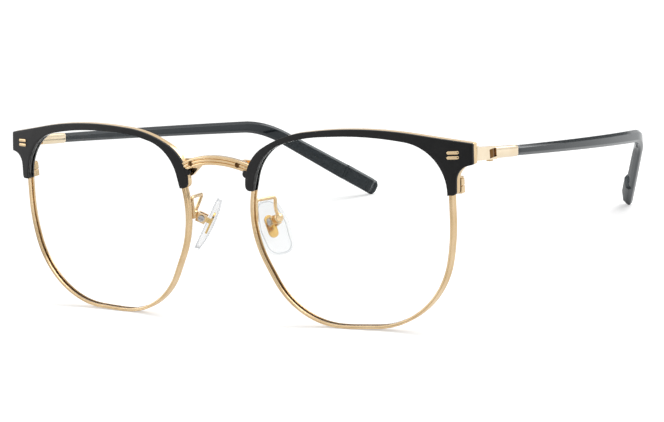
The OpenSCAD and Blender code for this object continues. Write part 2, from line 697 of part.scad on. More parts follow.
module nose_pad(side) {
    nose_r = 24;
    back_r = 60;
    color(clear) on(side) at_pad() difference() {
        intersection() {
            translate([0, pad_rear, pad_low]) rotate([0, -90, 0]) linear_extrude(height = 10)
                polygon(rounded([
                    [-pad_l / 2, -pad_w * 0.44, 2.7], [-pad_l / 2, pad_w * 0.46, 2.9],
                    [0.1 * pad_l, pad_w * 0.56, 6], [pad_l / 2, pad_w * 0.34, 2.2],
                    [pad_l / 2, -pad_w * 0.3, 2.2], [0, -pad_w * 0.52, 9]]));
            translate([nose_r - pad_back - pad_t, pad_rear, pad_low]) sphere(r = nose_r, $fn = 300);
            translate([-back_r - pad_back, pad_rear, pad_low]) sphere(r = back_r, $fn = 480);
        }
        pad_metal(seat);
    }
}

eyewire(1);  // eyewire_left
eyewire(-1);  // eyewire_right
lens(1);  // lens_left
lens(-1);  // lens_right
brow_cap(1);  // brow_cap_left
brow_cap(-1);  // brow_cap_right
brow_bar(1);  // brow_bar_left
brow_bar(-1);  // brow_bar_right
brow_rivets(1);  // brow_rivets_left
brow_rivets(-1);  // brow_rivets_right
bridge();
bridge_foot(1);  // bridge_foot_left
bridge_foot(-1);  // bridge_foot_right
bridge_screw(1);  // bridge_screw_left
bridge_screw(-1);  // bridge_screw_right
rim_lock(1, true);  // rim_lock_upper_left
rim_lock(-1, true);  // rim_lock_upper_right
rim_lock(1, false);  // rim_lock_lower_left
rim_lock(-1, false);  // rim_lock_lower_right
rim_screw(1);  // rim_screw_left
rim_screw(-1);  // rim_screw_right
endpiece(1);  // endpiece_left
endpiece(-1);  // endpiece_right
hinge_screw(1);  // hinge_screw_left
hinge_screw(-1);  // hinge_screw_right
hinge_leaf(1);  // hinge_leaf_left
hinge_leaf(-1);  // hinge_leaf_right
ferrule(1);  // ferrule_left
ferrule(-1);  // ferrule_right
temple_core(1);  // temple_core_left
temple_core(-1);  // temple_core_right
temple_sleeve(1);  // temple_sleeve_left
temple_sleeve(-1);  // temple_sleeve_right
pad_arm(1);  // pad_arm_left
pad_arm(-1);  // pad_arm_right
pad_box(1);  // pad_box_left
pad_box(-1);  // pad_box_right
pad_screw(1);  // pad_screw_left
pad_screw(-1);  // pad_screw_right
pad_insert(1);  // pad_insert_left
pad_insert(-1);  // pad_insert_right
nose_pad(1);  // nose_pad_left
nose_pad(-1);  // nose_pad_right
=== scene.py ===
"""Looks of a pair of browline glasses, worked out in millimetres round its own front.

Inside the functions x runs across the face, y back from the middle of a lens, z up from the floor.
place() turns that into metres in the frame of the whole pair.
"""

import math

import bmesh
import bpy
import numpy as np
from mathutils import Matrix


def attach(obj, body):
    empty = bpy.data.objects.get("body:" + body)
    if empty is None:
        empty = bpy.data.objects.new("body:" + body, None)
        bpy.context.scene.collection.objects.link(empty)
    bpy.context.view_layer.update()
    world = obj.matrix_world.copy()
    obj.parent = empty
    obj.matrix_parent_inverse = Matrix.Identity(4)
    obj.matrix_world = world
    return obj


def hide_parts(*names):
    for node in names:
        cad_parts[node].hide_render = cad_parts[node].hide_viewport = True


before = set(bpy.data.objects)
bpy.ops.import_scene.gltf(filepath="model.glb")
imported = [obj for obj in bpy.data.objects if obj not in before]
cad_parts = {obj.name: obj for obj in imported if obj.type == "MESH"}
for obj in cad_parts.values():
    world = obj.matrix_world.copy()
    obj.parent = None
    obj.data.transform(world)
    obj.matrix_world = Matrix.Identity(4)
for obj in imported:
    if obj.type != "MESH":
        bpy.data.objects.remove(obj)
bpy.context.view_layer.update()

# Sizes of the front, in millimetres
LENS_W, LENS_H, BRIDGE_GAP = 55.0, 49.2, 20.5
BASE_RADIUS, FACE_WRAP = 160.0, math.radians(4.4)
LENS_T, TONGUE_T, LENS_GAP = 1.6, 0.6, 0.06
WIRE_IN, WIRE_OUT, WIRE_FRONT = -0.35, 0.55, 1.05
BAR_D, CAP_T, SEAT = 1.5, 0.72, 0.02
BROW_OUT, BROW_END_H, LEG_Z, LEG_OUT, NASAL_OUT = 5.85, 5.1, 9.8, 1.75, 1.3
RIVET_W, RIVET_H, RIVET_PITCH, RIVET_IN, RIVET_HEAD = 3.0, 0.85, 1.2, 4.6, 0.28
LENS_X = (BRIDGE_GAP + LENS_W) / 2
LENS_Z = LENS_H / 2 + WIRE_OUT
CAP_BACK = WIRE_FRONT + SEAT
CAP_FRONT = CAP_BACK + CAP_T
BAR_BACK = WIRE_FRONT - BAR_D
BROW_END_X, BROW_END_Z = LENS_W / 2 + BROW_OUT, LENS_H / 2 - 2.4
BROW_IN_X = -LENS_W / 2 - NASAL_OUT

# Corners of the lens edge: shares of the half width and half height, and the arc's share of the half width
LENS_CORNERS = np.array([
    [1, -0.049, 1.891], [1, 0.868, 0.484], [0.241, 1.011, 3.127], [-0.402, 0.983, 1.6],
    [-0.881, 0.826, 0.465], [-1.061, 0.014, 0.996], [-0.608, -0.987, 0.742], [-0.087, -1.001, 1.382],
    [0.812, -0.957, 0.811],
]) * [LENS_W / 2, LENS_H / 2, LENS_W / 2]

# Corners of the brow from its outer leg over the top to its inner leg, with the arcs' radii, and the lobe
BROW_CORNERS = np.array([
    [LENS_W / 2 + LEG_OUT, LEG_Z, 0.8],
    [LENS_W / 2 + LEG_OUT + 0.2, BROW_END_Z - BROW_END_H - 0.4, 3.8],
    [BROW_END_X + 0.1, BROW_END_Z - BROW_END_H, 0.35],
    [BROW_END_X, BROW_END_Z, 0.35],
    [LENS_W * 0.112, LENS_H / 2 + 2.25, 100],
    [-LENS_W * 0.3036, LENS_H / 2 - 0.1, 33],
    [BROW_IN_X + 0.15, LENS_H / 2 - 6.7, 11],
    [BROW_IN_X, LEG_Z, 1.3],
])
LOBE, LOBE_R = np.array([BROW_IN_X + 0.2, LEG_Z + 4.3]), 1.0

# Round edges of the front
WIRE_EDGE, CAP_EDGE, BAR_EDGE, LOBE_EDGE, LOBE_SINK = 0.2, 0.13, 0.04, 0.2, 0.03
GROOVE_LIP = 0.04

# Fine lines of the wire: how far out or back each point lies, and how deep. Then how much painted shade
# darkens the lines, the inner round edge and the lens groove, and how much of that shade remains from low
# to high on the rim
SIDE_LINE = ((0.12, 0), (0.17, 0.07), (0.25, 0.07), (0.3, 0))
FRONT_LINE = ((0.21, 0), (0.15, 0.06), (0.07, 0.06), (0.01, 0))
LINE_SHADE, EDGE_SHADE, LENS_GROOVE_SHADE = [0, 0.4, 0.4, 0], 0.15, [0.9, 1, 1]
SHADE_HEIGHTS, SHADE_SHARES = [-16, 2], [1, 0.3]

# Dome of a rivet's head: shares of its outline and of its height
RIVET_DOME = np.array([[1, 0], [1, 0.45], [0.94, 0.7], [0.82, 0.88], [0.62, 0.97], [0.35, 1], [0.12, 1]])
RIVET_SUNK, RIVET_DOWN = 0.05, 0.05

# Sizes of the temples, with directions in degrees
HINGE = np.array([70.75, 15.2, LENS_Z + 18.3])
ARM_T, FERRULE_START, FERRULE_END = 2.3, 1.6, 12.8
FERRULE_MARGIN, FERRULE_CHAMFER, FERRULE_EDGE = 0.15, 0.4, 0.1
STRAIGHT_L, BEND_L, TIP_L = 99.5, 17.4, 39.5
HEADING_OUT, HEADING_IN, TIP_IN, TIP_DROP = 3.0, 9.0, 30.0, 26.0
TEMPLE_SLOPE = 7.9485
SLEEVE_H, BEND_H, TIP_H, SLEEVE_T = 2.6, 3.6, 5.0, 2.2
SLEEVE_CHAMFER, SLEEVE_EDGE = 0.78, 0.26
NECK_L, NECK_SIZE, NECK_GROWTH = 0.5, 0.93, 0.07
PANEL_L, PANEL_T, PANEL_RISE, PANEL_FALL, PANEL_END = 14.4, 0.8, 0.9, 3.2, 2
END_R, END_T, FINE_L, LONG_STEP, FINE_STEP = 1.5, 0.8, 17, 0.8, 0.12
TEMPLE_L = STRAIGHT_L + BEND_L + TIP_L
ROUTE_STEP, LAST_STRAIGHT = 0.05, 0.5

# Sizes of the nose pads
PAD_L, PAD_W, PAD_T = 14.0, 7.4, 2.1
PAD_AT = np.array([11.3, 7.6, LENS_Z + 0.2])
PAD_SPLAY, PAD_TURN = math.radians(29), math.radians(26.5)
BOX_S, PAD_WIRE_R, PAD_WIRE_BEND = 2.6, 0.45, 1
PAD_BACK, PAD_LOW, PAD_REAR = BOX_S / 2 + 0.35, -1.0, 0.6
PAD_BALL, PAD_EDGE, PAD_FACE = 32, 0.6, 0.78

MIDDLE_Y = 77.9374
MIRROR = {"left": 1, "right": -1}

# How fine the surfaces are
ARC_STEPS = 6  # the fewest steps in the arc of a corner
NO_CUTS = 9  # a step longer than any side, which leaves the straight runs whole
HUB = 0.02  # the share of an outline that the last ring of a face is drawn in to
SIDE_SHARE = 0.999  # the share of a side that the arcs at its two ends may take up

# Distances in metres and angles in radians that clean the meshes, and the angle of a sharp edge in degrees
MERGE, NO_AREA, NODE_MERGE = 1e-7, 1e-8, 2e-7
FLAT, CREASE, NODE_SHARP = math.radians(0.4), math.radians(40), 35


# ---- Outlines ----

def unit(v):
    """A vector, or each row of an array of them, divided by its own length."""
    return v / np.linalg.norm(v, axis=-1, keepdims=True)


def circle(count):
    """Points of a circle of radius 1: the cosine and the sine of evenly spaced angles."""
    a = np.linspace(0, 2 * np.pi, count + 1)[:-1]
    return np.stack([np.cos(a), np.sin(a)], 1)


def lengths(path):
    """The length of a path up to each of its points: the sum of its steps."""
    return np.concatenate([[0], np.cumsum(np.linalg.norm(np.diff(path, axis=0), axis=1))])


def rounded(corners, step=0.35, closed=True):
    """Outline through corners, given as two places and a radius, each rounded by an arc that touches both its
    sides, with the outward direction at every point. A radius gives way where two arcs would meet on one
    side. The straight runs between the arcs are cut into steps too; the last of them is left out where
    closed isn't set. Returns the points and the directions."""
    b = corners[:, :2]
    u, v = unit(np.roll(b, 1, 0) - b), unit(np.roll(b, -1, 0) - b)
    half = np.arccos(np.clip((u * v).sum(1), -1, 1)) / 2
    reach = corners[:, 2] / np.tan(half)
    side = np.linalg.norm(np.roll(b, -1, 0) - b, axis=1)
    share = np.minimum(1, SIDE_SHARE * side / (reach + np.roll(reach, -1)))
    r = corners[:, 2] * np.minimum(share, np.roll(share, 1))
    m = b + unit(u + v) * (r / np.sin(half))[:, None]
    cut = (r / np.tan(half))[:, None]
    p, q = b + u * cut - m, b + v * cut - m
    a = np.arctan2(p[:, 1], p[:, 0])
    d = (np.arctan2(q[:, 1], q[:, 0]) - a + np.pi) % (2 * np.pi) - np.pi
    points, out = [], []
    for i in range(len(corners)):
        k = max(ARC_STEPS, int(abs(d[i]) * r[i] / step))
        t = a[i] + d[i] * np.linspace(0, 1, k + 1)
        e = np.stack([np.cos(t), np.sin(t)], 1)
        points.append(m[i] + r[i] * e)
        out.append(e * np.sign(d[i]))
        j = (i + 1) % len(corners)
        gap = m[j] + p[j] - points[-1][-1]
        n = int(np.linalg.norm(gap) / step)
        if n > 1 and (closed or j):
            s = np.linspace(0, 1, n + 1)[1:-1, None]
            points.append(points[-1][-1] + gap * s)
            out.append(np.repeat(out[-1][-1:], n - 1, 0))
    return np.concatenate(points), np.concatenate(out)


LENS_P, LENS_N = rounded(LENS_CORNERS)


def ball_y(xz, g):
    """Depth of the ball of the front's curve, grown forwards by g, at places (x, z) round the middle of the
    left lens: the ball's middle less the root of radius squared less both distances squared."""
    cx, cy = -BASE_RADIUS * math.sin(FACE_WRAP), BASE_RADIUS * math.cos(FACE_WRAP)
    return cy - np.sqrt((BASE_RADIUS + g) ** 2 - (xz[..., 0] - cx) ** 2 - xz[..., 1] ** 2)


def on_front(xz, g):
    """Points in space for places (x, z) round the left lens, at the depth g of the front's curve."""
    return np.stack([xz[..., 0] + LENS_X, ball_y(xz, g), xz[..., 1] + LENS_Z], -1)


def bevel_steps(r, n=4):
    """Insets and drops of a rounded edge: r less its cosine share and r less its sine share, over a quarter."""
    a = np.linspace(0, np.pi / 2, n)
    return r * (1 - np.cos(a)), r * (1 - np.sin(a))


# ---- Meshes ----

def place(points, mirror):
    """Metres in the frame of the whole pair; mirror -1 turns a left piece into a right one."""
    return (points * [mirror, 1, 1] - [0, MIDDLE_Y, 0]) / 1000


class Solid:
    """Points and faces of one piece, gathered from closed sheets."""

    def __init__(self):
        self.points, self.faces, self.count = [], [], 0

    def grid(self, p, along=False):
        """Adds a grid of points, rows by columns, whose columns close on each other. Where along is set its
        rows close on each other too, and elsewhere one face closes the first row and one the last."""
        rows, cols = p.shape[:2]
        i = np.arange(rows * cols).reshape(rows, cols) + self.count
        i = np.concatenate([i, i[:, :1]], 1)
        if along:
            i = np.concatenate([i, i[:1]], 0)
        quads = np.stack([i[:-1, :-1], i[:-1, 1:], i[1:, 1:], i[1:, :-1]], -1)
        self.faces += quads.reshape(-1, 4).tolist()
        if not along:
            self.faces += [i[0, :cols][::-1].tolist(), i[-1, :cols].tolist()]
        self.points.append(p.reshape(-1, 3))
        self.count += rows * cols
        return self


def linked(name, data):
    """A new object in the scene, made of a mesh, a light or a camera."""
    obj = bpy.data.objects.new(name, data)
    bpy.context.scene.collection.objects.link(obj)
    return obj


def smooth(mesh, sharp):
    """Smooth shading, with sharp edges where faces meet at more than an angle in degrees."""
    mesh.shade_smooth()
    mesh.set_sharp_from_angle(angle=math.radians(sharp))


def stand_in(obj, node, body):
    """Lets an object ride on a body and stand for a node, whose own part is hidden."""
    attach(obj, body)
    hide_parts(node)


def clean(mesh):
    """Merges doubles, drops faces without an area and turns every closed sheet's faces outwards."""
    bm = bmesh.new()
    bm.from_mesh(mesh)
    bmesh.ops.remove_doubles(bm, verts=bm.verts, dist=MERGE)
    bmesh.ops.dissolve_degenerate(bm, edges=bm.edges, dist=NO_AREA)
    bmesh.ops.recalc_face_normals(bm, faces=bm.faces)
    bm.to_mesh(mesh)
    bm.free()
    mesh.validate()


def piece(name, node, side, body, solid, material, sharp):
    """Makes the piece of one side that stands for a node, rides on a body and takes the given finish."""
    name, node = name + "_" + side, node + "_" + side
    mesh = bpy.data.meshes.new(name)
    mesh.from_pydata(place(np.concatenate(solid.points), MIRROR[side]).tolist(), [], solid.faces)
    mesh.materials.append(material)
    obj = linked(name, mesh)
    clean(mesh)
    smooth(mesh, sharp)
    stand_in(obj, node, body)
    return obj


def softened(node, body, material, width=0.0):
    """A copy of a node with its doubles merged. Where a width in millimetres is given, its flat faces are
    joined and its edges are rounded by that width."""
    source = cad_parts[node]
    bm = bmesh.new()
    bm.from_mesh(source.data)
    bm.transform(source.matrix_world)
    bmesh.ops.remove_doubles(bm, verts=bm.verts, dist=NODE_MERGE)
    if width:
        bmesh.ops.dissolve_limit(bm, angle_limit=FLAT, verts=bm.verts, edges=bm.edges)
    mesh = bpy.data.meshes.new(node + "_soft")
    bm.to_mesh(mesh)
    bm.free()
    mesh.materials.clear()
    mesh.materials.append(material)
    smooth(mesh, NODE_SHARP)
    obj = linked(node + "_soft", mesh)
    if width:
        edge = obj.modifiers.new("rounded_edges", "BEVEL")
        edge.width, edge.segments, edge.limit_method = width / 1000, 2, "ANGLE"
        edge.angle_limit, edge.harden_normals = CREASE, True
    stand_in(obj, node, body)


# ---- Shared effects ----

GRAIN_DETAIL, GRAIN_LOW, GRAIN_HIGH, DUST_PATCHES = 4, 0.3, 0.7, 260


def feed(tree, socket, value):
    """Gives a socket a number, a colour of three values, or another node's output."""
    if isinstance(value, (int, float)):
        socket.default_value = value
    elif isinstance(value, tuple):
        socket.default_value = (*value, 1)
    else:
        tree.links.new(value, socket)


def worked(tree, operation, a, b):
    """One step of arithmetic on two outputs or numbers."""
    n = tree.nodes.new("ShaderNodeMath")
    n.operation = operation
    feed(tree, n.inputs[0], a)
    feed(tree, n.inputs[1], b)
    return n.outputs[0]


def spread(tree, value, **limits):
    """A value stretched from between two limits to between two others, held at both ends."""
    n = tree.nodes.new("ShaderNodeMapRange")
    feed(tree, n.inputs["Value"], value)
    for label, limit in limits.items():
        feed(tree, n.inputs[label.replace("_", " ")], limit)
    return n.outputs["Result"]


def group(name, output, **inputs):
    """An empty node group with a vector input, a number for each named input, and one number as its output."""
    g = bpy.data.node_groups.new(name, "ShaderNodeTree")
    g.interface.new_socket("Vector", in_out="INPUT", socket_type="NodeSocketVector")
    for label, value in inputs.items():
        socket = g.interface.new_socket(label, in_out="INPUT", socket_type="NodeSocketFloat")
        socket.default_value = value
    g.interface.new_socket(output, in_out="OUTPUT", socket_type="NodeSocketFloat")
    return g, g.nodes.new("NodeGroupInput").outputs, g.nodes.new("NodeGroupOutput").inputs[output]


def grain_group():
    """Fine uneven grain: noise at a scale, spread between a low and a high value."""
    g, given, result = group("grain", "Value", Scale=800.0, Low=0.0, High=1.0)
    noise = g.nodes.new("ShaderNodeTexNoise")
    noise.inputs["Detail"].default_value = GRAIN_DETAIL
    feed(g, noise.inputs["Vector"], given["Vector"])
    feed(g, noise.inputs["Scale"], given["Scale"])
    feed(g, result, spread(g, noise.outputs["Fac"], From_Min=GRAIN_LOW, From_Max=GRAIN_HIGH,
                           To_Min=given["Low"], To_Max=given["High"]))
    return g


def dust_group():
    """Sparse specks: cells whose middle lies within a small distance of the point, thinned out by noise."""
    g, given, result = group("dust", "Mask", Scale=900.0, Size=0.08, Amount=0.5)
    cells, noise = g.nodes.new("ShaderNodeTexVoronoi"), g.nodes.new("ShaderNodeTexNoise")
    noise.inputs["Scale"].default_value = DUST_PATCHES
    feed(g, cells.inputs["Vector"], given["Vector"])
    feed(g, noise.inputs["Vector"], given["Vector"])
    feed(g, cells.inputs["Scale"], given["Scale"])
    small = worked(g, "LESS_THAN", cells.outputs["Distance"], given["Size"])
    few = worked(g, "LESS_THAN", noise.outputs["Fac"], given["Amount"])
    feed(g, result, worked(g, "MULTIPLY", small, few))
    return g


GRAIN, DUST = grain_group(), dust_group()


class Finish:
    """A material with one Principled shader, and short ways to add nodes to it."""

    def __init__(self, name, **sockets):
        self.mat = bpy.data.materials.new(name)
        self.mat.use_nodes = True
        self.tree = self.mat.node_tree
        self.bsdf = self.tree.nodes["Principled BSDF"]
        for label, value in sockets.items():
            feed(self.tree, self.bsdf.inputs[label.replace("_", " ")], value)
        self.coord = self.tree.nodes.new("ShaderNodeTexCoord").outputs["Object"]

    def set(self, label, value):
        """Gives one of the shader's own sockets a constant or another node's output."""
        feed(self.tree, self.bsdf.inputs[label], value)

    def stretched(self, x, y, z):
        """Object coordinates stretched along the three axes."""
        n = self.tree.nodes.new("ShaderNodeMapping")
        n.inputs["Scale"].default_value = (x, y, z)
        feed(self.tree, n.inputs["Vector"], self.coord)
        return n.outputs["Vector"]

    def use(self, shared, vector=None, **values):
        """Places a shared effect with its own values and returns its output."""
        n = self.tree.nodes.new("ShaderNodeGroup")
        n.node_tree = shared
        feed(self.tree, n.inputs["Vector"], vector or self.coord)
        for label, value in values.items():
            feed(self.tree, n.inputs[label], value)
        return n.outputs[0]

    def mix(self, mask, a, b):
        """Colour between a and b by a mask; each may be a colour or another node's output."""
        n = self.tree.nodes.new("ShaderNodeMix")
        n.data_type = "RGBA"
        for socket, value in ((0, mask), (6, a), (7, b)):
            feed(self.tree, n.inputs[socket], value)
        return n.outputs[2]

    def blend(self, mask, a, b):
        """Value between a and b by a mask; each may be a number or another node's output."""
        n = self.tree.nodes.new("ShaderNodeMix")
        for socket, value in ((0, mask), (2, a), (3, b)):
            feed(self.tree, n.inputs[socket], value)
        return n.outputs[0]

    def step(self, value, low, high):
        """0 below low, 1 above high, and straight between."""
        return spread(self.tree, value, From_Min=low, From_Max=high)

    def height(self):
        """The height of the point above the floor, in metres."""
        n = self.tree.nodes.new("ShaderNodeSeparateXYZ")
        feed(self.tree, n.inputs[0], self.coord)
        return n.outputs["Z"]

    def bump(self, value, distance):
        """Raises the surface by a value times a distance, in metres."""
        n = self.tree.nodes.new("ShaderNodeBump")
        n.inputs["Distance"].default_value = distance
        feed(self.tree, n.inputs["Height"], value)
        self.set("Normal", n.outputs["Normal"])


# ---- Finishes ----

GOLD_DEEP, GOLD_PALE = (0.72, 0.515, 0.285), (0.83, 0.635, 0.395)
ENAMEL_DARK, ENAMEL_GREY = (0.0075, 0.0075, 0.008), (0.0125, 0.0125, 0.013)
ENAMEL_LOW, ENAMEL_HIGH = (LENS_Z + LEG_Z - 0.06) / 1000, (LENS_Z + LEG_Z + 0.02) / 1000


def gold_finish(name, deep, pale, rough=(0.12, 0.22)):
    """Polished gold: a slow change of tone, a finer change of gloss, and faint lengthwise polishing lines."""
    f = Finish(name, Metallic=1.0, IOR=1.5)
    f.set("Base Color", f.mix(f.use(GRAIN, Scale=160.0), deep, pale))
    f.set("Roughness", f.use(GRAIN, Scale=1400.0, Low=rough[0], High=rough[1]))
    f.bump(f.use(GRAIN, f.stretched(1, 0.12, 1), Scale=4200.0), 1.2e-6)
    return f.mat


def painted_wire_finish():
    """Gold wire, darkened to a dark brown by painted shade where its point attribute says so. Its upper half is
    enamelled black, down to the ends of the brow's legs."""
    f = Finish("gold_wire_with_enamel", IOR=1.5, Specular_IOR_Level=0.4)
    black = f.step(f.height(), ENAMEL_LOW, ENAMEL_HIGH)
    gold = f.mix(f.use(GRAIN, Scale=160.0), GOLD_DEEP, GOLD_PALE)
    enamel = f.mix(f.use(GRAIN, Scale=420.0), ENAMEL_DARK, ENAMEL_GREY)
    # Painted shade: the point attribute turns the gold towards dark brown in the wire's lines, inner edge and
    # lens groove
    groove = f.tree.nodes.new("ShaderNodeAttribute")
    groove.attribute_name = "groove"
    shaded = f.mix(groove.outputs["Fac"], gold, (0.26, 0.15, 0.062))
    f.set("Base Color", f.mix(black, shaded, enamel))
    f.set("Metallic", f.blend(black, 1.0, 0.0))
    f.set("Roughness", f.blend(black, f.use(GRAIN, Scale=1400.0, Low=0.13, High=0.24),
                               f.use(GRAIN, Scale=2600.0, Low=0.26, High=0.36)))
    f.bump(f.use(GRAIN, Scale=4200.0), 1e-6)
    return f.mat


def enamel_finish():
    """Satin black enamel: fine orange peel, a faint change of tone, and a few specks of dust."""
    f = Finish("satin_black_enamel", IOR=1.5, Specular_IOR_Level=0.28)
    specks = f.use(DUST, Scale=1500.0, Size=0.05, Amount=0.42)
    tone = f.mix(f.use(GRAIN, Scale=420.0), ENAMEL_DARK, ENAMEL_GREY)
    f.set("Base Color", f.mix(specks, tone, (0.06, 0.06, 0.06)))
    f.set("Roughness", f.use(GRAIN, Scale=2600.0, Low=0.34, High=0.46))
    f.bump(f.use(GRAIN, Scale=3000.0), 1.5e-6)
    return f.mat


def acetate_finish():
    """Polished black acetate: deep tone with faint cloudy streaks along it, a few specks of dust, and a cool
    light in its gloss."""
    f = Finish("polished_black_acetate", IOR=1.49, Specular_Tint=(0.88, 0.96, 1.0),
               Sheen_Weight=0.06, Sheen_Roughness=0.35, Sheen_Tint=(0.5, 0.85, 1.0))
    cloud = f.use(GRAIN, f.stretched(1, 0.25, 1), Scale=180.0)
    specks = f.use(DUST, Scale=1300.0, Size=0.045, Amount=0.4)
    tone = f.mix(cloud, (0.0035, 0.0055, 0.0075), (0.006, 0.009, 0.012))
    f.set("Base Color", f.mix(specks, tone, (0.03, 0.033, 0.036)))
    f.set("Roughness", f.use(GRAIN, Scale=900.0, Low=0.06, High=0.12))
    f.bump(f.use(GRAIN, f.stretched(1, 0.3, 1), Scale=300.0), 2e-7)
    return f.mat


def lens_finish():
    """Clear lens: it passes light almost unbent and reflects very little, so the wire shows plainly through
    its edge, and its tint changes faintly where it was wiped."""
    f = Finish("coated_clear_lens", IOR=1.008, Transmission_Weight=1.0, Roughness=0.0)
    wiped = f.use(GRAIN, f.stretched(1, 1, 0.3), Scale=90.0)
    f.set("Base Color", f.mix(wiped, (0.98, 0.99, 0.985), (0.99, 0.997, 0.994)))
    return f.mat


def pad_finish():
    """Clear soft plastic, faintly grey and blue: barely there face on and dense where it is seen edge on,
    with a faint cloud in its tone and a soft, slightly uneven gloss."""
    f = Finish("clear_soft_pad", IOR=1.42)
    facing = f.tree.nodes.new("ShaderNodeLayerWeight")
    facing.inputs["Blend"].default_value = 0.4
    edge = f.step(facing.outputs["Facing"], 0.3, 0.9)
    f.set("Base Color", f.mix(f.use(GRAIN, Scale=300.0), (0.54, 0.575, 0.62), (0.66, 0.695, 0.735)))
    f.set("Alpha", f.blend(edge, 0.16, 0.85))
    f.set("Roughness", f.use(GRAIN, Scale=700.0, Low=0.03, High=0.09))
    f.bump(f.use(GRAIN, Scale=900.0), 1e-6)
    return f.mat


def steel_finish():
    """Plain drawn steel wire with fine lines along it."""
    f = Finish("drawn_steel", Metallic=1.0)
    f.set("Base Color", f.mix(f.use(GRAIN, Scale=500.0), (0.50, 0.50, 0.51), (0.64, 0.64, 0.65)))
    f.set("Roughness", f.use(GRAIN, f.stretched(1, 0.1, 1), Scale=3000.0, Low=0.25, High=0.45))
    return f.mat


GOLD = gold_finish("pale_gold_plating", GOLD_DEEP, GOLD_PALE)
# A paler copy of the same gold: a painted highlight for the endpieces and the ferrules
LIT_GOLD = gold_finish("gold_with_painted_highlight", (0.84, 0.68, 0.465), (0.93, 0.80, 0.60), (0.06, 0.14))
# A dark brown copy of the same gold: a painted shade for the hinge leaf in its window and for the bridge screw
SHADED = gold_finish("gold_with_painted_shade", (0.13, 0.062, 0.02), (0.24, 0.125, 0.045), (0.2, 0.35))
YELLOW = gold_finish("yellow_gold_insert", (0.80, 0.50, 0.13), (0.88, 0.60, 0.20))
WIRE, ENAMEL, ACETATE = painted_wire_finish(), enamel_finish(), acetate_finish()
LENS, PAD, STEEL = lens_finish(), pad_finish(), steel_finish()


# ---- Front ----

def eyewire(side):
    """A closed profile carried round the lens edge: each point goes out along the outline's own direction by
    its first value, and forwards along the front's curve by its second. Its corners are round, fine lines
    run along its front and its outer side, and its inner side has the groove that holds the lens. A point
    attribute carries painted shade: the profile's shade times a share that falls with height, so the rim is
    painted darker low down."""
    inset, drop = bevel_steps(WIRE_EDGE, 5)
    half = TONGUE_T / 2 + LENS_GAP
    side_line = [[WIRE_OUT - depth, forwards] for forwards, depth in SIDE_LINE]
    corner_out = np.stack([WIRE_OUT - inset, WIRE_FRONT - drop], 1)
    front_line = [[outwards, WIRE_FRONT - depth] for outwards, depth in FRONT_LINE]
    corner_in = np.stack([WIRE_IN + inset, WIRE_FRONT - drop], 1)[::-1]
    lens_groove = [[WIRE_IN, half + GROOVE_LIP], [WIRE_IN + GROOVE_LIP, half], [0, half]]
    upper = np.concatenate([side_line, corner_out, front_line, corner_in, lens_groove])
    profile = np.concatenate([upper, upper[::-1] * [1, -1]])
    # Painted shade of each point of the profile: in the fine lines, over the inner round edge and in the lens
    # groove
    dark = np.concatenate([LINE_SHADE, np.zeros(5), LINE_SHADE, np.linspace(0, EDGE_SHADE, 5),
                           LENS_GROOVE_SHADE])
    ring = LENS_P[:, None] + LENS_N[:, None] * profile[None, :, :1]
    solid = Solid().grid(on_front(ring, profile[None, :, 1]), along=True)
    obj = piece("eyewire_ring", "eyewire", side, "front", solid, WIRE, 50)
    # The painted shade is full low on the rim and fades to a share of it towards the top
    low = np.interp(LENS_P[:, 1], SHADE_HEIGHTS, SHADE_SHARES)
    every = (low[:, None] * np.concatenate([dark, dark[::-1]])).ravel().astype(np.float32)
    obj.data.attributes.new("groove", "FLOAT", "POINT").data.foreach_set("value", every)


def lens(side):
    """Rings of the lens edge shrunk towards its middle, on the front and the back of the front's curve,
    joined by the edge with its tongue."""
    shrink = np.linspace(HUB, 1, 26)[:-1]
    body, tongue = LENS_P + LENS_N * (WIRE_IN - LENS_GAP), LENS_P - LENS_N * LENS_GAP
    edge = [(body, LENS_T / 2), (body, TONGUE_T / 2), (tongue, TONGUE_T / 2)]
    rows = [(body * k, LENS_T / 2) for k in shrink] + edge
    rows += [(p, -g) for p, g in edge[::-1]] + [(body * k, -LENS_T / 2) for k in shrink[::-1]]
    solid = Solid().grid(np.stack([on_front(p, g) for p, g in rows]))
    obj = piece("lens_glass", "lens", side, "front", solid, LENS, 40)
    obj.visible_shadow = False


def arch(grow):
    """The lens edge grown by a value, from the outer leg's end over the top to the inner leg's end, as
    points, directions and the share of its length."""
    p = LENS_P + LENS_N * grow
    up = np.flatnonzero(p[:, 1] > LEG_Z)
    run = np.arange(up[0] - 1, up[-1] + 2)
    p, n = p[run], LENS_N[run]
    for i, j in ((0, 1), (-1, -2)):
        k = (LEG_Z - p[i, 1]) / (p[j, 1] - p[i, 1])
        p[i] = p[i] + (p[j] - p[i]) * k
    t = lengths(p)
    return p, n, t / t[-1]


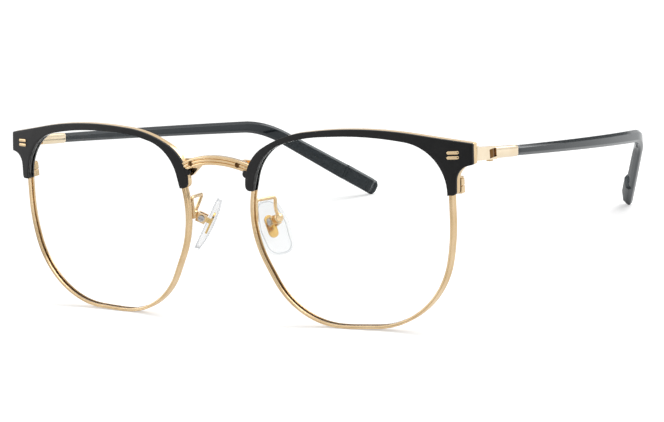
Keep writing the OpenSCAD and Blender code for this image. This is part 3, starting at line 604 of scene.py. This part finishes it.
def band(grow, front, back, r):
    """A band between the brow's outline and the lens edge grown by a value. Every column runs up the outer
    wall, over a rounded edge, across the front, over the inner rounded edge and down the inner wall. A
    column's inner end is the nearest point of the arch, evened out by a fifth of the outline's length."""
    inner, inner_n, t = arch(grow)
    p, n = rounded(BROW_CORNERS, 0.3, closed=False)
    line = np.linspace(0, 1, 5)[:-1, None]
    down = np.repeat([[0.0, -1.0]], len(line), 0)
    outer_leg = inner[:1] + (p[:1] - inner[:1]) * line
    inner_leg = inner[-1:] + (p[-1:] - inner[-1:]) * line[::-1]
    outer = np.concatenate([outer_leg, p, inner_leg])
    outer_n = np.concatenate([down, n, down])
    near = t[np.argmin(((outer[:, None] - inner[None]) ** 2).sum(-1), 1)]
    even = lengths(outer)
    share = np.maximum.accumulate(0.8 * near + 0.2 * even / even[-1])
    share = (share - share[0]) / (share[-1] - share[0])
    ip = np.stack([np.interp(share, t, inner[:, k]) for k in (0, 1)], 1)
    iq = unit(np.stack([np.interp(share, t, inner_n[:, k]) for k in (0, 1)], 1))
    inset, drop = bevel_steps(r)
    rows = [(outer, back)] + [(outer - outer_n * a, front - d) for a, d in zip(inset, drop)]
    o, i = outer - outer_n * r, ip + iq * r
    rows += [(o + (i - o) * k, front) for k in np.linspace(0, 1, 10)[1:-1]]
    rows += [(ip + iq * a, front - d) for a, d in zip(inset[::-1], drop[::-1])] + [(ip, back)]
    return np.stack([on_front(q, g) for q, g in rows], 1)


def disc(middle, radius, front, back, r):
    """A round plate on the front's curve with a rounded front edge: rings of a circle, drawn in towards its
    middle on the front."""
    e = circle(48)
    rows = [(radius, back)] + [(radius - i, front - d) for i, d in zip(*bevel_steps(r))]
    rows += [(radius * 0.5, front), (HUB, front)]
    return np.stack([on_front(middle + e * k, g) for k, g in rows])


def brow_cap(side):
    """The black cap: the band between the brow's outline and the lens opening, with the lobe at the bridge."""
    solid = Solid().grid(band(WIRE_IN, CAP_FRONT, CAP_BACK, CAP_EDGE))
    solid.grid(disc(LOBE, LOBE_R, CAP_FRONT - LOBE_SINK, CAP_BACK, LOBE_EDGE))
    piece("brow_cap_shell", "brow_cap", side, "front", solid, ENAMEL, 30)


def brow_bar(side):
    """The gold bar: the band outside the eyewire, behind the cap."""
    solid = Solid().grid(band(WIRE_OUT + SEAT, WIRE_FRONT, BAR_BACK, BAR_EDGE))
    piece("brow_bar_strip", "brow_bar", side, "front", solid, GOLD, 30)


def rivets(side):
    """Two pill-shaped heads: rings of a slot's outline drawn in over a round edge to the slot's middle line."""
    solid, e = Solid(), circle(48)
    stretch = np.where(e[:, 0] >= 0, 1, -1)[:, None] * [(RIVET_W - RIVET_H) / 2, 0]
    base, top = CAP_FRONT - RIVET_SUNK, CAP_FRONT + SEAT + RIVET_HEAD
    for k in (-1, 1):
        at = [BROW_END_X - RIVET_IN, BROW_END_Z - BROW_END_H / 2 - RIVET_DOWN + k * RIVET_PITCH / 2]
        rows = [(at + stretch + e * RIVET_H / 2 * q, base + (top - base) * h) for q, h in RIVET_DOME]
        solid.grid(np.stack([on_front(p, g) for p, g in rows]))
    piece("rivet_heads", "brow_rivets", side, "front", solid, GOLD, 40)


# ---- Temples ----

def held(s, low, high):
    """0 below low, 1 above high, and straight between."""
    return np.clip((s - low) / (high - low), 0, 1)


def eased(s, low, high):
    """0 below low, 1 above high, and between them half less half the cosine of the share's half turn."""
    return 0.5 - 0.5 * np.cos(np.pi * held(s, low, high))


def heading(s):
    """Heading of the temple at distance s: outwards in the ferrule, turning in along the straight and the
    bend."""
    straight = HEADING_OUT - (HEADING_OUT + HEADING_IN) * held(s, FERRULE_END, STRAIGHT_L)
    return np.radians(straight - (TIP_IN - HEADING_IN) * held(s, STRAIGHT_L, STRAIGHT_L + BEND_L))


def slope(s):
    """Downward slope of the temple at distance s: even along the straight, and steeper through the bend."""
    return np.radians(TEMPLE_SLOPE + TIP_DROP * held(s, STRAIGHT_L, STRAIGHT_L + BEND_L))


def ahead(s):
    """Direction of the temple at distance s: sine and cosine of its heading, each times the cosine of its
    slope, and less the sine of its slope."""
    h, b = heading(s), slope(s)
    return np.stack([np.sin(h) * np.cos(b), np.cos(h) * np.cos(b), -np.sin(b)], -1)


def temple_frame(s):
    """Places on the temple's route from the hinge, summed from its directions in small steps, with the
    directions outwards and up at each."""
    fine = np.arange(0, TEMPLE_L + ROUTE_STEP, ROUTE_STEP)
    steps = ahead(fine[:-1] + ROUTE_STEP / 2) * ROUTE_STEP
    path = np.concatenate([[[0, 0, 0]], np.cumsum(steps, 0)])
    p = HINGE + np.stack([np.interp(s, fine, path[:, k]) for k in range(3)], 1)
    d = ahead(np.minimum(s, TEMPLE_L - LAST_STRAIGHT))
    out = unit(np.cross(d, [0, 0, 1]))
    return p, out, np.cross(out, d)


def carried(s, x, z):
    """Points of a section at each distance on the temple's route, x outwards and z up."""
    p, out, up = temple_frame(s)
    return p[:, None] + out[:, None] * x[..., None] + up[:, None] * z[..., None]


def octagon(t, h, c):
    """Corners of a rectangle with half sizes t and h whose own corners are cut off by c."""
    return np.array([[t, c - h], [t, h - c], [t - c, h], [c - t, h],
                     [-t, h - c], [-t, c - h], [c - t, -h], [t - c, -h]])


def chamfered(c, r):
    """Section of a bar with chamfers c and edges rounded by r: the side on which each point lies, and how
    far it stands back from the corner there."""
    half = 3
    p, _ = rounded(np.column_stack([octagon(half, half, c), np.full(8, r)]), NO_CUTS)
    return np.sign(p), p - half * np.sign(p)


def end_cut(s, r):
    """How far a half size shrinks over the round end: r less the root of one less the share squared."""
    return r * (1 - np.sqrt(1 - held(s, TEMPLE_L - END_R, TEMPLE_L) ** 2))


def temple_sleeve(side):
    """A chamfered section carried along the temple's route. Its half height grows towards the tip, and its
    inner side steps inwards to a raised panel near the end."""
    fine_from, round_from, panel_from = TEMPLE_L - FINE_L, TEMPLE_L - END_R, TEMPLE_L - PANEL_L
    s = np.unique(np.concatenate([
        np.arange(FERRULE_END + SEAT, fine_from, LONG_STEP), np.arange(fine_from, round_from, FINE_STEP),
        TEMPLE_L - END_R * (1 - np.sin(np.linspace(0, np.pi / 2, 14)))]))
    height = np.where(s < STRAIGHT_L,
                      SLEEVE_H + (BEND_H - SLEEVE_H) * held(s, FERRULE_END, STRAIGHT_L),
                      BEND_H + (TIP_H - BEND_H) * held(s, STRAIGHT_L, panel_from))
    neck = NECK_SIZE + NECK_GROWTH * eased(s, FERRULE_END, FERRULE_END + NECK_L)
    half_h = (height / 2 - end_cut(s, END_R)) * neck
    half_t = (SLEEVE_T / 2 - end_cut(s, END_T)) * neck
    sign, back = chamfered(SLEEVE_CHAMFER, SLEEVE_EDGE)
    back = back[None] * np.minimum(1, half_t / END_T)[:, None, None]
    panel = PANEL_T * eased(s, panel_from, panel_from + PANEL_RISE)
    panel = panel * (1 - held(s, TEMPLE_L - PANEL_FALL, TEMPLE_L - PANEL_END))
    x = np.where(sign[:, 0] > 0, half_t[:, None], -half_t[:, None] - panel[:, None]) + back[..., 0]
    z = sign[None, :, 1] * half_h[:, None] + back[..., 1]
    piece("temple_sleeve_long", "temple_sleeve", side, "temple_" + side,
          Solid().grid(carried(s, x, z)), ACETATE, 75)


def ferrule(side):
    """A rectangle with chamfered edges carried from the hinge to the sleeve. Its front end is drawn out along
    the temple to the plane of the fork's end, and its rear end is round."""
    corner = octagon(ARM_T / 2, SLEEVE_H / 2 + FERRULE_MARGIN, FERRULE_CHAMFER)
    before, after = (corner + unit(np.roll(corner, k, 0) - corner) * FERRULE_EDGE for k in (1, -1))
    q = np.stack([before, after], 1).reshape(-1, 2)
    # Each distance from the hinge, and the size of the section there
    s, size = np.array([
        [FERRULE_START, 0.94], [FERRULE_START + 0.08, 1], [FERRULE_START + 0.5, 1], [5, 1], [8, 1], [11, 1],
        [FERRULE_END - 0.5, 1], [FERRULE_END - 0.3, 0.985], [FERRULE_END - 0.12, 0.94],
        [FERRULE_END - 0.03, 0.86], [FERRULE_END, 0.78],
    ]).T
    points = carried(s, size[:, None] * q[:, 0], size[:, None] * q[:, 1])
    d = ahead(s)
    for i in (0, 1):
        lack = HINGE[1] + s[i] - points[i, :, 1]
        points[i] += d[i] * (lack / d[i, 1])[:, None]
    # The ferrule takes the paler copy of the gold, a painted highlight
    piece("ferrule_sleeve", "ferrule", side, "temple_" + side, Solid().grid(points), LIT_GOLD, 25)


# ---- Nose pads ----

def at_pad(q):
    """Points of a pad's own frame (x from the nose outwards, y back, z up its length) in the pair's: splayed
    about y, turned about the upright, and moved to the pivot."""
    x = q[..., 0] * math.cos(PAD_SPLAY) - q[..., 2] * math.sin(PAD_SPLAY)
    z = q[..., 0] * math.sin(PAD_SPLAY) + q[..., 2] * math.cos(PAD_SPLAY)
    return np.stack([x * math.cos(PAD_TURN) + q[..., 1] * math.sin(PAD_TURN),
                     -x * math.sin(PAD_TURN) + q[..., 1] * math.cos(PAD_TURN), z], -1) + PAD_AT


def nose_pad(side):
    """Rings of the pad's outline shrunk towards its middle, on a ball towards the nose and flat towards the
    box, joined by a round edge: half a turn whose sine draws the outline in and whose cosine goes across."""
    p, n = rounded(np.array([
        [-PAD_L / 2, -PAD_W * 0.44, 2.7], [-PAD_L / 2, PAD_W * 0.46, 2.9], [0.1 * PAD_L, PAD_W * 0.56, 6],
        [PAD_L / 2, PAD_W * 0.34, 2.2], [PAD_L / 2, -PAD_W * 0.3, 2.2], [0, -PAD_W * 0.52, 9],
    ]), 0.3)
    rows = [(p * k, 0) for k in np.linspace(HUB, PAD_FACE, 9)]
    rows += [(p - n * PAD_EDGE * (1 - np.sin(a)), 0.5 - 0.5 * np.cos(a)) for a in np.linspace(0, np.pi, 13)]
    rows += [(p * k, 1) for k in np.linspace(PAD_FACE, HUB, 9)]
    points = []
    for q, across in rows:
        nose = -(PAD_BACK + PAD_T) + PAD_BALL - np.sqrt(PAD_BALL ** 2 - (q ** 2).sum(-1))
        depth = nose * (1 - across) - PAD_BACK * across
        points.append(np.stack([depth, q[:, 1] + PAD_REAR, q[:, 0] + PAD_LOW], -1))
    solid = Solid().grid(at_pad(np.stack(points)))
    piece("nose_pad_clear", "nose_pad", side, "pad_" + side, solid, PAD, 70)


def bent(points, r, n=10):
    """A path through points whose inner corners are bent: each is a curve that starts and ends at the
    distance r from the corner, weighted by the squares of the share and its rest."""
    path = [points[:1]]
    t = np.linspace(0, 1, n)[:, None]
    for a, b, c in zip(points[:-2], points[1:-1], points[2:]):
        p, q = b + unit(a - b) * r, b + unit(c - b) * r
        path.append(p * (1 - t) ** 2 + b * 2 * t * (1 - t) + q * t ** 2)
    return np.concatenate(path + [points[-1:]])


def pad_arm(side):
    """A round wire along a bent path: a circle across the path's direction at each point."""
    nose_x, box_x = BRIDGE_GAP / 2, BOX_S / 2 + 1
    climb = [[nose_x - 0.5, 1.94, LENS_Z + 1.2], [nose_x - 0.2, 2.02, LENS_Z + 6.8],
             [nose_x + 1.2, 8.9, LENS_Z + 6.3]]
    drop = at_pad(np.array([[box_x, 0.3, 2.9], [box_x, 0.3, 0.82]]))
    path = bent(np.concatenate([climb, drop]), PAD_WIRE_BEND)
    d = unit(np.gradient(path, axis=0))
    u = unit(np.cross([[0, 0, 1]], d[:1]))[0]
    rings, e = [], circle(20)
    for i in range(len(path)):
        u = unit(u - (u @ d[i]) * d[i])
        rings.append(path[i] + PAD_WIRE_R * (e[:, :1] * u + e[:, 1:] * np.cross(d[i], u)))
    solid = Solid().grid(np.stack(rings))
    piece("pad_arm_wire", "pad_arm", side, "front", solid, GOLD, 50)


# ---- Pieces ----

# Nodes whose own shape stays: body, slot, finish and rounding of the edges in millimetres
SMALL_PIECES = {
    "bridge_foot": ("front", "gold_metal", GOLD, 0.12),
    "rim_lock_upper": ("front", "gold_metal", GOLD, 0.12),
    "rim_lock_lower": ("front", "gold_metal", GOLD, 0.12),
    "rim_screw": ("front", "gold_metal", GOLD, 0.05),
    "hinge_screw": ("front", "gold_metal", GOLD, 0.04),
    # The endpiece takes the paler copy of the gold, a painted highlight
    "endpiece": ("front", "gold_metal", LIT_GOLD, 0.22),
    "pad_box": ("front", "gold_metal", GOLD, 0.1),
    # The bridge screw takes the dark copy of the gold, a painted shade
    "bridge_screw": ("front", "gold_metal", SHADED, 0.03),
    "pad_screw": ("front", "plain_steel", STEEL, 0.04),
    # The hinge leaf, seen in its window, takes the dark copy of the gold, a painted shade
    "hinge_leaf": ("temple", "gold_metal", SHADED, 0.05),
    "pad_insert": ("pad", "gold_metal", YELLOW, 0.05),
}

for side in MIRROR:
    for build in (eyewire, lens, brow_cap, brow_bar, rivets, temple_sleeve, ferrule, nose_pad, pad_arm):
        build(side)
softened("bridge", "front", GOLD)
for side in MIRROR:
    for kind, (body, slot, finish, width) in SMALL_PIECES.items():
        softened(kind + "_" + side, body if body == "front" else body + "_" + side, finish, width)

for name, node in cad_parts.items():
    finish = STEEL if name.startswith("temple_core") else GOLD
    if not node.data.materials:
        node.data.materials.append(finish)
    for i in range(len(node.data.materials)):
        node.data.materials[i] = finish


# ---- Stage, light and camera, in metres ----

LIT_POINT = (0, 0, 0.03)
UPRIGHT, CARD_UPRIGHT = (0, 0, 1), (0, 0.02, 1)  # a card may face straight up, so its own upright leans
WHITE = (1, 1, 1)
WORLD_LIGHT, FLOOR_TONE, MATT, GLOSS_SHARE = 0.45, (0.8, 0.8, 0.8), 0.9, 0.5
PHOTO_FOCUS, PHOTO_WIDTH, FILM_WIDTH, CLIP_START = 2099.8, 664, 36, 0.01  # pixels, pixels, mm, metres
GLOW_NEAR, GLOW_FAR = (0.3, 0.42), (1.0, 0.66)  # distance from the middle and strength
FLOOR_HALF = 3


def sideways(back, upright):
    """The directions right and up of something whose back points a given way."""
    right = unit(np.cross(upright, back))
    return right, np.cross(back, right)


def sheet(name, corners, material):
    """A flat piece of the stage with four corners."""
    mesh = bpy.data.meshes.new(name)
    mesh.from_pydata([tuple(map(float, c)) for c in corners], [], [(0, 1, 2, 3)])
    mesh.materials.append(material)
    return linked(name, mesh)


def soft_light(name, at, size, energy):
    """A rectangular soft light that faces the glasses."""
    data = bpy.data.lights.new(name, "AREA")
    data.shape, data.size, data.size_y = "RECTANGLE", size[0], size[1]
    data.energy = energy
    back = unit(np.array(at) - np.array(LIT_POINT))
    turn = np.stack([*sideways(back, UPRIGHT), back], 1)
    linked(name, data).matrix_world = Matrix.Translation(at) @ Matrix(turn.tolist()).to_4x4()


def card(name, at, size, tone=0.03, facing=None):
    """A dark or grey card that faces the glasses, or a given way, and shows in their reflections alone."""
    at = np.array(at)
    right, up = sideways(unit(at) if facing is None else np.array(facing), CARD_UPRIGHT)
    corners = [at + right * size[0] / 2 * a + up * size[1] / 2 * b
               for a, b in ((-1, -1), (-1, 1), (1, 1), (1, -1))]
    obj = sheet(name, corners, Finish(name, Base_Color=(tone, tone, tone), Roughness=MATT).mat)
    obj.visible_camera = obj.visible_diffuse = obj.visible_transmission = obj.visible_shadow = False


def seen(tree, in_gloss=1.0):
    """1 for the rays from the camera and through glass, a share for the rays off gloss, and 0 for the rays
    that light the object."""
    rays = tree.nodes.new("ShaderNodeLightPath").outputs
    clear = worked(tree, "MAXIMUM", rays["Is Camera Ray"], rays["Is Transmission Ray"])
    return worked(tree, "MAXIMUM", clear, worked(tree, "MULTIPLY", rays["Is Glossy Ray"], in_gloss))


def studio_world():
    """White surroundings, dimmer for the rays that light the object."""
    world = bpy.data.worlds.new("studio")
    bpy.context.scene.world = world
    world.use_nodes = True
    tree = world.node_tree
    mix = tree.nodes.new("ShaderNodeMixShader")
    feed(tree, mix.inputs[0], seen(tree))
    white = tree.nodes.new("ShaderNodeBackground")
    for i, n, strength in ((1, tree.nodes["Background"], WORLD_LIGHT), (2, white, 1.0)):
        feed(tree, n.inputs["Color"], WHITE)
        feed(tree, n.inputs["Strength"], strength)
        feed(tree, mix.inputs[i], n.outputs[0])
    feed(tree, tree.nodes["World Output"].inputs["Surface"], mix.outputs[0])


def pale_floor():
    """A matt floor that glows for the rays seen, more so with its distance from the middle, so that it
    merges with the white surroundings."""
    f = Finish("pale_floor", Base_Color=FLOOR_TONE, Roughness=MATT, Specular_IOR_Level=0.0)
    away, glow = f.tree.nodes.new("ShaderNodeVectorMath"), f.tree.nodes.new("ShaderNodeEmission")
    away.operation = "LENGTH"
    feed(f.tree, away.inputs[0], f.coord)
    far = spread(f.tree, away.outputs["Value"], From_Min=GLOW_NEAR[0], From_Max=GLOW_FAR[0],
                 To_Min=GLOW_NEAR[1], To_Max=GLOW_FAR[1])
    feed(f.tree, glow.inputs["Strength"], worked(f.tree, "MULTIPLY", seen(f.tree, GLOSS_SHARE), far))
    add = f.tree.nodes.new("ShaderNodeAddShader")
    feed(f.tree, add.inputs[0], f.bsdf.outputs[0])
    feed(f.tree, add.inputs[1], glow.outputs[0])
    feed(f.tree, f.tree.nodes["Material Output"].inputs["Surface"], add.outputs[0])
    corners = [(FLOOR_HALF * a, FLOOR_HALF * b, 0) for a, b in ((-1, -1), (1, -1), (1, 1), (-1, 1))]
    sheet("pale_floor", corners, f.mat)


def photo_camera():
    """The camera, whose right, up and back directions and place were found from the outlines of the lenses
    and temples in the photo."""
    data = bpy.data.cameras.new("camera")
    data.sensor_fit, data.sensor_width = "HORIZONTAL", FILM_WIDTH
    data.lens = PHOTO_FOCUS / PHOTO_WIDTH * FILM_WIDTH
    data.clip_start = CLIP_START
    camera = linked("camera", data)
    right, up = (0.85672, 0.51051, -0.07351), (-0.04004, 0.20791, 0.97733)
    back = (0.51422, -0.83436, 0.19856)
    turn = Matrix([[right[i], up[i], back[i]] for i in range(3)]).to_4x4()
    camera.matrix_world = Matrix.Translation((0.302805, -0.514538, 0.134445)) @ turn
    bpy.context.scene.camera = camera


soft_light("light_above", (0.3, 0.3, 0.72), (0.8, 0.6), 4.2)
soft_light("light_left", (-0.8, -0.45, 0.35), (0.5, 0.5), 1.4)
soft_light("light_behind", (0.34, 0.92, 0.5), (0.34, 0.26), 0.5)
card("dark_card_front", (0.62, -1.05, 0.32), (1.1, 0.7))
card("dark_card_side", (-1.1, -0.6, 0.5), (0.7, 0.5))
card("grey_card_behind", (0.0, 1.05, 0.3), (0.3, 0.26), 0.3)
card("grey_card_below", (0.012, 0.115, 0.0005), (0.065, 0.075), 0.3, (0, 0, 1))
studio_world()
pale_floor()
photo_camera()
bpy.context.scene.view_settings.view_transform = "Standard"
